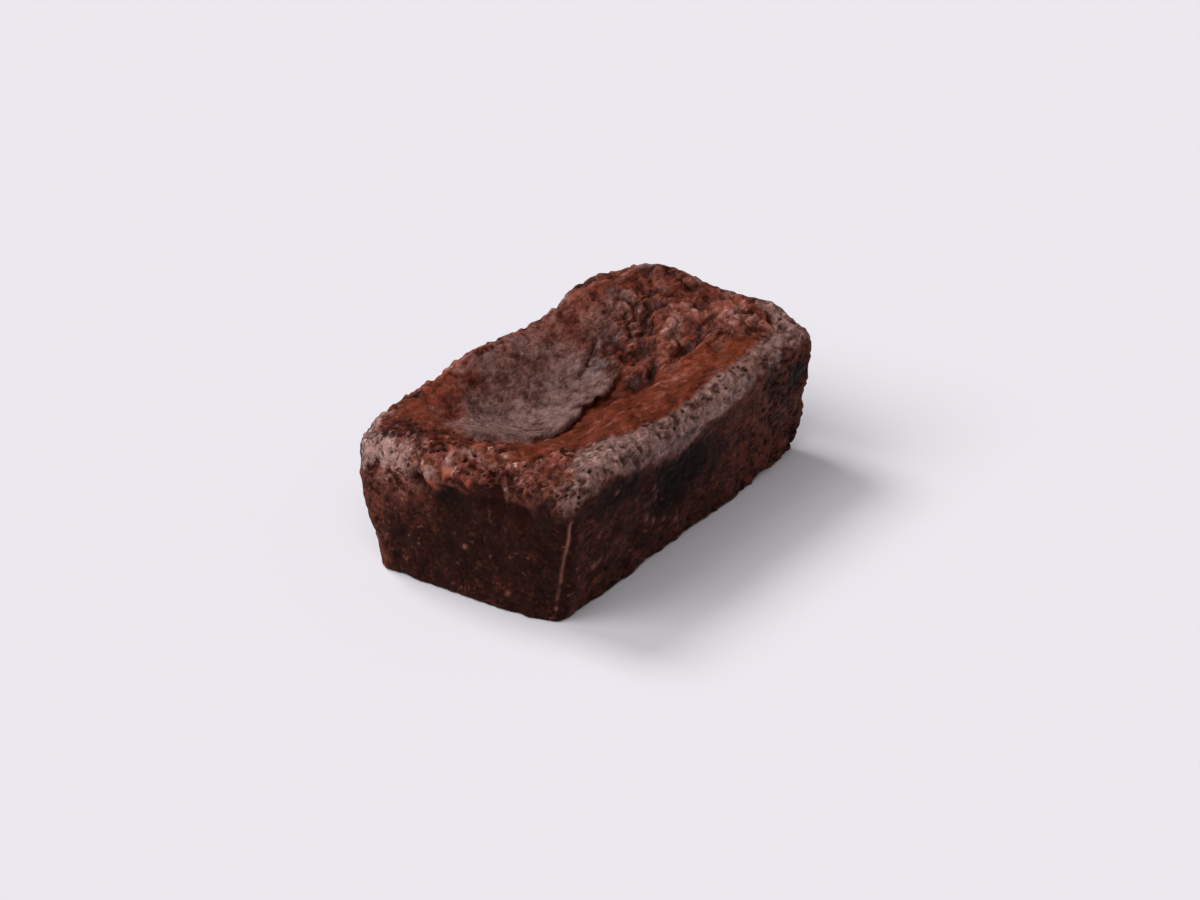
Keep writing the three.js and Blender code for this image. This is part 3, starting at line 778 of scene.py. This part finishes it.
def loaf_faces():
    """Quads between neighbouring rings and over the grid, and triangles that close the underside."""
    ring_count = BASE_ROWS + WALL_ROWS + 1 + RIM_ROWS
    n = np.arange(edge_count)
    after = (n + 1) % edge_count
    start = (np.arange(ring_count - 1) * edge_count)[:, None]
    sides = np.stack([start + n, start + after, start + after + edge_count, start + n + edge_count], axis=-1)
    last = (ring_count - 1) * edge_count
    number = np.zeros((STEPS_X + 1, STEPS_Y + 1), dtype=int)
    inner = last + edge_count + np.arange((STEPS_X - 1) * (STEPS_Y - 1))
    number[1:-1, 1:-1] = inner.reshape(STEPS_X - 1, -1)
    number[:-1, 0] = last + np.arange(STEPS_X)
    number[-1, :-1] = last + STEPS_X + np.arange(STEPS_Y)
    number[:0:-1, -1] = last + STEPS_X + STEPS_Y + np.arange(STEPS_X)
    number[0, :0:-1] = last + 2 * STEPS_X + STEPS_Y + np.arange(STEPS_Y)
    cover = np.stack([number[:-1, :-1], number[1:, :-1], number[1:, 1:], number[:-1, 1:]], axis=-1)
    centre = points.shape[1]
    fan = np.stack([np.full(edge_count, centre), after, n], axis=-1)
    return sides.reshape(-1, 4).tolist() + cover.reshape(-1, 4).tolist() + fan.tolist()


def mesh_object(name, corners, faces, masks):
    """A smooth mesh object from points in millimetres, with one named number for each point and mask."""
    mesh = bpy.data.meshes.new(name)
    mesh.from_pydata((corners * MM).tolist(), [], faces)
    mesh.polygons.foreach_set("use_smooth", [True] * len(mesh.polygons))
    for mask_name, values in masks.items():
        layer = mesh.attributes.new(mask_name, "FLOAT", "POINT")
        layer.data.foreach_set("value", np.asarray(values, dtype=np.float32))
    mesh.update()
    piece = bpy.data.objects.new(name, mesh)
    bpy.context.scene.collection.objects.link(piece)
    return piece


middle = np.array([[BASE_SHIFT[0], BASE_SHIFT[1], 0.0]])
masks = {"film": film, "wet": wet, "wall": wall, "level": level, "hollow_shade": hollow_shade, "seam_and_glints": seam_and_glints, "dark_and_shade": dark_and_shade,
         "raw_crumb_and_edge_light": raw_crumb_and_edge_light, "calm": calm, "warm": warm}
masks = {name: np.append(values, 0) for name, values in masks.items()}
loaf = mesh_object("brownie_loaf", np.concatenate([points.T, middle]), loaf_faces(), masks)


# The loaf's finish
# Baked cocoa crumb. The rim and the sunken skin dried to a dull greyish crust, the walls are nearly
# black where they met the tin, and the torn middle is moist, reddish and glossy.

def node(tree, kind, settings=None, **inputs):
    """A shader node with its settings, and its inputs set to values or linked to sockets. An input is
    given by its name, or as i0, i1 and so on by its number."""
    made = tree.nodes.new(kind)
    for name, value in (settings or {}).items():
        setattr(made, name, value)
    for name, value in inputs.items():
        socket = made.inputs[int(name[1:])] if name[0] == "i" and name[1:].isdigit() else made.inputs[name]
        if isinstance(value, bpy.types.NodeSocket):
            tree.links.new(value, socket)
        else:
            socket.default_value = value
    return made


def mask(tree, name):
    """The piece's own number of that name at each point."""
    return node(tree, "ShaderNodeAttribute", {"attribute_name": name}).outputs["Fac"]


def mix(tree, factor, first_colour, second_colour):
    """Two colours mixed: the first where the factor is 0 and the second where it is 1."""
    made = tree.nodes.new("ShaderNodeMix")
    made.data_type = "RGBA"
    for number, value in ((0, factor), (6, first_colour), (7, second_colour)):
        if isinstance(value, bpy.types.NodeSocket):
            tree.links.new(value, made.inputs[number])
        else:
            made.inputs[number].default_value = value if number == 0 else (*value, 1.0)
    return made.outputs[2]


def times(tree, a, b):
    """One number or socket times another."""
    return node(tree, "ShaderNodeMath", {"operation": "MULTIPLY"}, i0=a, i1=b).outputs[0]


def total(tree, start, *terms):
    """A number or socket plus several sockets, each times its own number or socket."""
    for socket, weight in terms:
        added = node(tree, "ShaderNodeMath", {"operation": "MULTIPLY_ADD"}, i0=socket, i1=weight, i2=start)
        start = added.outputs[0]
    return start


def stretched(tree, value, low, high):
    """0 where the value is at low or past it, 1 where it is at high or past it, and even between them."""
    limits = {"From Min": low, "From Max": high}
    return node(tree, "ShaderNodeMapRange", Value=value, **limits).outputs[0]


CLOUD_DETAIL, CLOUD_LOW, CLOUD_HIGH = 2.0, 0.35, 0.65


def clouds(tree, coordinates, scale):
    """Noise stretched until its low places are 0 and its high places are 1."""
    cloud = node(tree, "ShaderNodeTexNoise", Vector=coordinates, Scale=scale, Detail=CLOUD_DETAIL)
    return stretched(tree, cloud.outputs["Fac"], CLOUD_LOW, CLOUD_HIGH)


def crumbs(tree, coordinates, scale):
    """Crumbs packed side by side: one random number for each, and the distance from its middle."""
    packed = node(tree, "ShaderNodeTexVoronoi", Vector=coordinates, Scale=scale)
    tone = node(tree, "ShaderNodeSeparateColor", Color=packed.outputs["Color"]).outputs[0]
    return tone, packed.outputs["Distance"]


# Colours, as red, green and blue from 0 to 1: the film over the rim and the skin
FILM_DARK, FILM_PALE, SKIN_PALE = (0.06, 0.023, 0.018), (0.4, 0.219, 0.188), (0.38, 0.217, 0.198)

# The crumb, and the moist crumb
CRUMB_DARK, CRUMB_WARM, CRUMB_RED = (0.03, 0.0055, 0.003), (0.24, 0.061, 0.037), (0.27, 0.05, 0.027)
WET_DARK, WET_WARM = (0.033, 0.005, 0.002), (0.22, 0.045, 0.019)

# The wall, and the places that differ from everything round them: near-black crumb and painted shade, the
# painted shade of the hollows, the pale seam and painted glints, and raw crumb and painted edge light
WALL_DARK, WALL_WARM, WALL_RED = (0.0095, 0.0027, 0.0018), (0.105, 0.03, 0.0195), (0.155, 0.035, 0.022)
DARK_AND_SHADE, HOLLOW_SHADE = (0.0083, 0.0026, 0.0018), (0.018, 0.004, 0.0022)
PALE_SEAM_AND_GLINT, RAW_CRUMB_AND_EDGE_LIGHT_COLOUR, GLINT = (0.34, 0.13, 0.1), (0.42, 0.09, 0.045), (0.62, 0.38, 0.3)

# Crumbs and clouds in each metre, the grain's stretch along the loaf, and how far crumbs wander each way
COARSE_CRUMBS, FINE_CRUMBS, SOFT_CLOUDS, SMALL_CLOUDS = 800.0, 1700.0, 330.0, 900.0
GRAIN_STRETCH, DRIFT = (0.65, 1.0, 1.0), (0.0012, 0.0012, 0.0012)

SHEEN, COAT_ROUGHNESS = 0.04, 0.32
BUMP_STRENGTH, BUMP_HEIGHT = 0.8, 0.0003


def baked_chocolate():
    """The loaf's finish: reddish crumb under a greyish film, both mottled, with painted shade where they lie
    low.
    """
    material = bpy.data.materials.new("baked_chocolate")
    material.use_nodes = True
    tree = material.node_tree
    surface = tree.nodes["Principled BSDF"]
    film, wet, wall, level = mask(tree, "film"), mask(tree, "wet"), mask(tree, "wall"), mask(tree, "level")
    calm, hollow_shade = mask(tree, "calm"), mask(tree, "hollow_shade")
    busy = total(tree, 1.0, (calm, -1.0))

    # Crumbs of two sizes, which wander a little, and clouds of two sizes
    where = node(tree, "ShaderNodeTexCoord").outputs["Object"]
    long = node(tree, "ShaderNodeVectorMath", {"operation": "MULTIPLY"}, i0=where, i1=GRAIN_STRETCH)
    long = long.outputs[0]
    drift = node(tree, "ShaderNodeTexNoise", Vector=long, Scale=COARSE_CRUMBS, Detail=CLOUD_DETAIL)
    drift = drift.outputs["Color"]
    loose = node(tree, "ShaderNodeVectorMath", {"operation": "MULTIPLY_ADD"}, i0=drift, i1=DRIFT, i2=long)
    loose = loose.outputs[0]
    coarse, away = crumbs(tree, loose, COARSE_CRUMBS)
    fine, fine_away = crumbs(tree, loose, FINE_CRUMBS)
    soft, small = clouds(tree, long, SOFT_CLOUDS), clouds(tree, long, SMALL_CLOUDS)
    grit = total(tree, -0.5, (coarse, 0.33), (fine, 0.42), (small, 0.25))

    # Light and dark follow the relief as painted light and shade, over random grit, with dark dots of painted
    # shade in small pits on top
    dots = times(tree, stretched(tree, away, 0.4, 0.2), stretched(tree, coarse, 0.6, 0.8))
    fine_dots = times(tree, stretched(tree, fine_away, 0.45, 0.2), stretched(tree, fine, 0.55, 0.75))
    dots = times(tree, total(tree, dots, (fine_dots, 0.55)), busy)
    mottle = total(tree, 0.0, (level, 0.95), (grit, total(tree, 0.4, (busy, 0.6))), (dots, -0.55))

    # The crumb, dry or moist, with a redder crumb here and there
    crumb = mix(tree, mottle, CRUMB_DARK, CRUMB_WARM)
    colour = mix(tree, wet, crumb, mix(tree, mottle, WET_DARK, WET_WARM))
    colour = mix(tree, times(tree, stretched(tree, coarse, 0.7, 1.0), mottle), colour, CRUMB_RED)

    # The film lies over the crumb and is broken up by grit, and a few fine crumbs glint in it
    cover = total(tree, -0.72, (film, 1.75), (soft, 0.4), (grit, total(tree, 0.3, (busy, 0.8))), (level, 0.6))
    cover = stretched(tree, cover, 0.0, 1.0)
    film_pale = mix(tree, stretched(tree, calm, 0.0, 0.6), FILM_PALE, SKIN_PALE)
    colour = mix(tree, cover, colour, mix(tree, mottle, FILM_DARK, film_pale))
    speck = times(tree, stretched(tree, fine, 0.94, 0.97), times(tree, busy, busy))
    speck = times(tree, speck, stretched(tree, level, 0.4, 0.9))
    colour = mix(tree, times(tree, speck, 0.6), colour, GLINT)

    # The wall's colours, with painted shade, painted edge light and painted glints in them, which the grit
    # carries a little way up into the rim
    warmth = times(tree, total(tree, 0.1, (level, 0.7), (grit, 0.9)), mask(tree, "warm"))
    warmth = times(tree, warmth, total(tree, 1.0, (soft, 1.0)))
    wall_colour = mix(tree, warmth, WALL_DARK, WALL_WARM)
    wall_colour = mix(tree, times(tree, stretched(tree, fine, 0.6, 1.0), warmth), wall_colour, WALL_RED)
    wall_colour = mix(tree, mask(tree, "dark_and_shade"), wall_colour, DARK_AND_SHADE)
    # Painted glints on the wall, in the seam's pale colour
    wall_colour = mix(tree, times(tree, speck, 0.25), wall_colour, PALE_SEAM_AND_GLINT)
    wall_colour = mix(tree, mask(tree, "seam_and_glints"), wall_colour, PALE_SEAM_AND_GLINT)
    wall_part = stretched(tree, total(tree, -0.25, (wall, 1.5), (grit, 1.1)), 0.0, 1.0)
    colour = mix(tree, wall_part, colour, wall_colour)

    # Raw crumb and its painted edge light, and the painted shade of the hollows, stay as they are, whatever
    # lies round them
    colour = mix(tree, mask(tree, "raw_crumb_and_edge_light"), colour, RAW_CRUMB_AND_EDGE_LIGHT_COLOUR)
    colour = mix(tree, hollow_shade, colour, HOLLOW_SHADE)
    tree.links.new(colour, surface.inputs["Base Color"])

    # The film has a faint glaze, and the wall and the hollows have none
    roughness = total(tree, 0.5, (small, 0.2), (wet, -0.12))
    tree.links.new(roughness, surface.inputs["Roughness"])
    surface.inputs["Specular IOR Level"].default_value = SHEEN
    glaze = total(tree, 0.08, (cover, 0.25), (speck, 0.6))
    glaze = times(tree, glaze, total(tree, 1.0, (wall, -1.0)))
    glaze = times(tree, glaze, total(tree, 1.0, (hollow_shade, -1.0)))
    tree.links.new(glaze, surface.inputs["Coat Weight"])
    surface.inputs["Coat Roughness"].default_value = COAT_ROUGHNESS

    # Each crumb stands out a little, most where the surface is busy
    grain = total(tree, 0.0, (small, 0.6), (dots, -0.8), (away, -0.4), (fine_away, -0.6))
    grain = times(tree, grain, total(tree, 0.3, (busy, 0.7), (wall, -0.4)))
    bump = node(tree, "ShaderNodeBump", Strength=BUMP_STRENGTH, Distance=BUMP_HEIGHT, Height=grain)
    tree.links.new(bump.outputs[0], surface.inputs["Normal"])
    return material


loaf.data.materials.append(baked_chocolate())
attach(loaf, "root")
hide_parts("brownie")


# The studio
# A pale, faintly violet floor, even soft light from all round, and three broad lights: one from behind
# the far long side, one over the far corner of the end with the bubbles, and one over that end.

FLOOR_REACH = 4.0
FLOOR_TINT, FLOOR_ROUGHNESS = (0.8, 0.775, 0.825, 1.0), 0.9
SKY_TINT, SKY_STRENGTH = (1.0, 1.0, 1.0, 1.0), 0.11

floor_plan = [(-1, -1), (1, -1), (1, 1), (-1, 1)]
floor_mesh = bpy.data.meshes.new("floor")
floor_mesh.from_pydata([(FLOOR_REACH * side_x, FLOOR_REACH * side_y, 0) for side_x, side_y in floor_plan],
                       [], [(0, 1, 2, 3)])
floor = bpy.data.objects.new("floor", floor_mesh)
bpy.context.scene.collection.objects.link(floor)
floor_finish = bpy.data.materials.new("pale_floor")
floor_finish.use_nodes = True
floor_surface = floor_finish.node_tree.nodes["Principled BSDF"]
floor_surface.inputs["Base Color"].default_value = FLOOR_TINT
floor_surface.inputs["Roughness"].default_value = FLOOR_ROUGHNESS
floor_surface.inputs["Specular IOR Level"].default_value = 0.0
floor.data.materials.append(floor_finish)

world = bpy.data.worlds.new("studio")
world.use_nodes = True
sky = world.node_tree.nodes["Background"]
sky.inputs["Color"].default_value = SKY_TINT
sky.inputs["Strength"].default_value = SKY_STRENGTH
bpy.context.scene.world = world

# For each light the direction that it stands in, its strength and its width in radians
LIGHTS = {
    "back_light": ((0.081, 0.667, 0.741), 1.5, 0.4),
    "corner_light": ((-0.58, 0.418, 0.7), 1.46, 0.7),
    "end_light": ((-0.644, -0.268, 0.717), 1.11, 0.77),
}
for name, (direction, strength, spread) in LIGHTS.items():
    lamp = bpy.data.lights.new(name, "SUN")
    lamp.energy, lamp.angle = strength, spread
    light = bpy.data.objects.new(name, lamp)
    light.rotation_mode = "QUATERNION"
    light.rotation_quaternion = Vector(direction).to_track_quat("Z", "Y")
    light.location = direction
    bpy.context.scene.collection.objects.link(light)


# The camera
# A long lens, 27 degrees above the floor, that looks at the end with the bubbles and the front.
# Its two shifts put the target at its own pixel of the picture.

VIEW_ELEVATION, VIEW_AZIMUTH, VIEW_DISTANCE = np.radians(27.05), np.radians(-57.24), 0.6977
VIEW_TARGET = Vector((0.42, -0.76, 0.0)) * MM
TARGET_PIXEL, PICTURE = (594.3, 505.3), (1200, 900)
LENS, SENSOR, CLIP_NEAR, CLIP_FAR = 108.0, 36.0, 0.05, 20.0

back = Vector((np.sin(VIEW_AZIMUTH) * np.cos(VIEW_ELEVATION), -np.cos(VIEW_AZIMUTH) * np.cos(VIEW_ELEVATION),
               np.sin(VIEW_ELEVATION)))
lens = bpy.data.cameras.new("camera")
lens.lens, lens.sensor_width = LENS, SENSOR
lens.shift_x = (PICTURE[0] / 2 - TARGET_PIXEL[0]) / PICTURE[0]
lens.shift_y = (TARGET_PIXEL[1] - PICTURE[1] / 2) / PICTURE[0]
lens.clip_start, lens.clip_end = CLIP_NEAR, CLIP_FAR
camera = bpy.data.objects.new("camera", lens)
camera.location = VIEW_TARGET + back * VIEW_DISTANCE
camera.rotation_mode = "QUATERNION"
camera.rotation_quaternion = back.to_track_quat("Z", "Y")
bpy.context.scene.collection.objects.link(camera)
bpy.context.scene.camera = camera
bpy.context.scene.view_settings.view_transform = "Standard"
